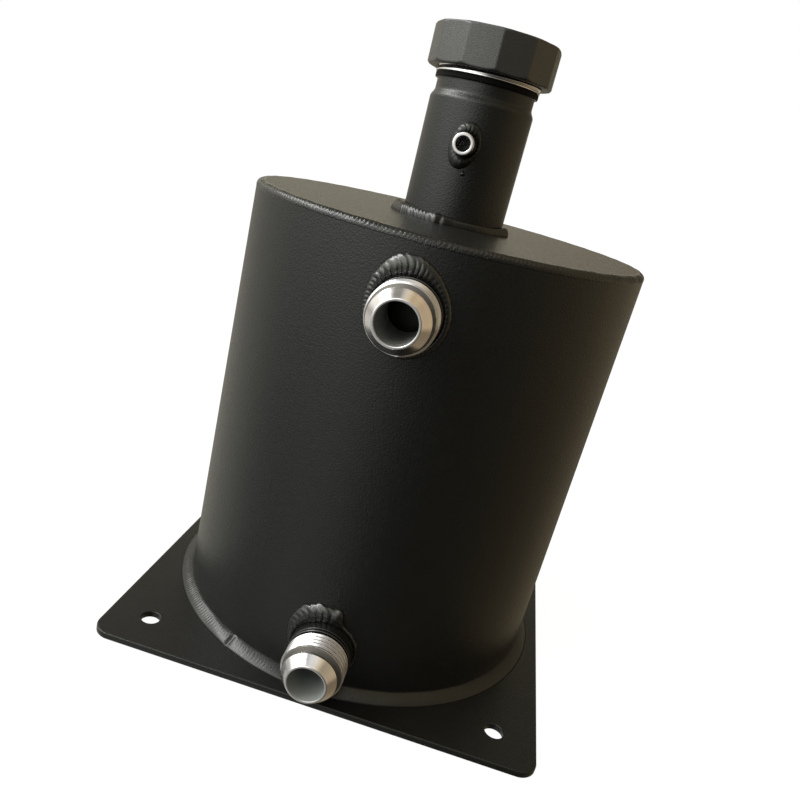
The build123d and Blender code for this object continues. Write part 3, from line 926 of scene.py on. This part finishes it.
# The room that lights the object: azimuth from -Y towards +X in degrees, and the light from
# there, for each band of elevation from the floor up
FLOOR_GLOW = [
    (-180, 0.3), (-150, 0.53), (-108, 0.63), (-85, 0.38), (-62, 0.26), (-42, 0.47),
    (-24, 0.46), (-9, 0.35), (2, 0.08), (30, 0.06), (105, 0.16), (180, 0.3)]
LOW_WALL_GLOW = [
    (-180, 0.5), (-108, 0.41), (-85, 0.6), (-62, 1.1), (-42, 1.3), (-24, 1.0), (-9, 0.6),
    (2, 0.2), (12, 0.0), (30, 0.0), (55, 0.2), (105, 0.4), (150, 0.3), (180, 0.5)]
WALL_GLOW = [
    (-180, 0.6), (-165, 0.68), (-145, 0.62), (-125, 0.75), (-108, 1.15), (-95, 1.25),
    (-78, 1.9), (-62, 2.35), (-30, 2.35), (-15, 2.0), (-6, 1.15), (1, 0.42), (12, 0.25),
    (30, 0.2), (55, 0.2), (90, 0.42), (150, 0.15), (180, 0.6)]
HIGH_WALL_GLOW = [
    (-180, 0.18), (-150, 0.22), (-130, 0.5), (-115, 1.0), (-100, 2.0), (-85, 3.3), (-72, 3.7),
    (-45, 3.4), (-24, 2.4), (-9, 1.2), (1, 0.5), (12, 0.3), (55, 0.25), (95, 0.4), (130, 0.2),
    (180, 0.18)]
CEILING_GLOW = [
    (-180, 0.2), (-110, 0.3), (-60, 0.45), (-35, 0.8), (30, 0.8), (60, 0.5), (110, 0.45),
    (140, 0.2), (180, 0.2)]
ZENITH_GLOW = 0.75
BRIGHTEST = 3.7
# The elevations in degrees over which each band takes over from the one below
BANDS = [(-16, -4, LOW_WALL_GLOW), (-4, 8, WALL_GLOW), (20, 32, HIGH_WALL_GLOW),
         (46, 58, CEILING_GLOW)]
ZENITH_BAND = (72, 84)
ROOM_TINT = [
    (-180, (1.1, 1.0, 0.76)), (-130, (1.04, 1.0, 0.85)), (-85, (0.98, 1.0, 0.93)),
    (2, (0.99, 1.0, 0.92)), (12, (1.03, 1.0, 0.9)), (30, (1.07, 1.0, 0.82)),
    (55, (1.15, 1.0, 0.68)), (105, (1.3, 1.0, 0.6)), (140, (1.2, 1.0, 0.66)),
    (180, (1.1, 1.0, 0.76))]
STRONGEST_TINT = 1.3


def make_world():
    """White to the camera; to the object, a room bright on the left, dark on the right and
    warm behind."""
    world = bpy.data.worlds.new("room")
    bpy.context.scene.world = world
    world.use_nodes = True
    tree = world.node_tree
    tree.nodes.clear()
    direction = add_node(tree, "ShaderNodeTexCoord").outputs["Generated"]
    x, y, z = add_node(tree, "ShaderNodeSeparateXYZ", Vector=direction).outputs
    azimuth = maths(tree, "ARCTAN2", x, maths(tree, "MULTIPLY", y, -1.0))
    share = maths(tree, "MULTIPLY_ADD", azimuth, 1 / (2 * pi), 0.5)
    level = maths(tree, "MULTIPLY_ADD", z, 0.5, 0.5)

    def around(stops):
        return ramp(tree, share,
                    [(degree / 360 + 0.5, glow / BRIGHTEST) for degree, glow in stops])

    def rise(start, end):
        """0 below one elevation in degrees and 1 above the other."""
        return ramp(tree, level, [((sin(radians(start)) + 1) / 2, 0.0),
                                  ((sin(radians(end)) + 1) / 2, 1.0)])

    def mix(kind, factor, below, above):
        return add_node(tree, "ShaderNodeMix", {"data_type": "RGBA", "blend_type": kind},
                        i0=factor, i6=below, i7=above).outputs[2]

    glow = around(FLOOR_GLOW)
    for start, end, stops in BANDS:
        glow = mix("MIX", rise(start, end), glow, around(stops))
    glow = mix("MIX", rise(*ZENITH_BAND), glow, (ZENITH_GLOW / BRIGHTEST,) * 3 + (1,))
    tint = ramp(tree, share, [(degree / 360 + 0.5, tuple(part / STRONGEST_TINT for part in shade))
                              for degree, shade in ROOM_TINT])
    room = mix("MULTIPLY", 1.0, glow, tint)
    lit = add_node(tree, "ShaderNodeBackground", Color=room,
                   Strength=BRIGHTEST * STRONGEST_TINT).outputs[0]
    white = add_node(tree, "ShaderNodeBackground", Color=(1, 1, 1, 1), Strength=1.0).outputs[0]
    seen = add_node(tree, "ShaderNodeLightPath").outputs["Is Camera Ray"]
    both = add_node(tree, "ShaderNodeMixShader", Fac=seen, i1=lit, i2=white).outputs[0]
    add_node(tree, "ShaderNodeOutputWorld", Surface=both)


def add_area_light(name, azimuth, elevation, distance, width, height, watts):
    """A soft light, sized in metres, that faces the tank's middle.

    Its azimuth runs from -Y towards +X, and like its elevation is in degrees.
    """
    lamp = bpy.data.lights.new(name, "AREA")
    lamp.shape = "RECTANGLE"
    lamp.size = width
    lamp.size_y = height
    lamp.energy = watts
    light = bpy.data.objects.new(name, lamp)
    bpy.context.scene.collection.objects.link(light)
    flat = cos(radians(elevation))
    towards = Vector((flat * sin(radians(azimuth)), -flat * cos(radians(azimuth)),
                      sin(radians(elevation))))
    light.location = Vector((0, 0, 0.12)) + distance * towards
    light.rotation_euler = towards.to_track_quat("Z", "Y").to_euler()
    light.visible_camera = False


def make_camera():
    data = bpy.data.cameras.new("photo_camera")
    data.sensor_width = CAMERA_SENSOR
    data.lens = CAMERA_LENS
    data.shift_x, data.shift_y = CAMERA_SHIFT
    data.clip_start = CAMERA_CLIP_START
    camera = bpy.data.objects.new("photo_camera", data)
    bpy.context.scene.collection.objects.link(camera)
    camera.location = [MM * value for value in CAMERA_PLACE]
    camera.rotation_euler = [radians(angle) for angle in CAMERA_ANGLES]
    bpy.context.scene.camera = camera


make_floor()
make_world()
add_area_light("upper_left_lamp", azimuth=-82, elevation=43, distance=1.2, width=1.0,
               height=0.35, watts=8)
make_camera()
bpy.context.scene.view_settings.view_transform = "Standard"
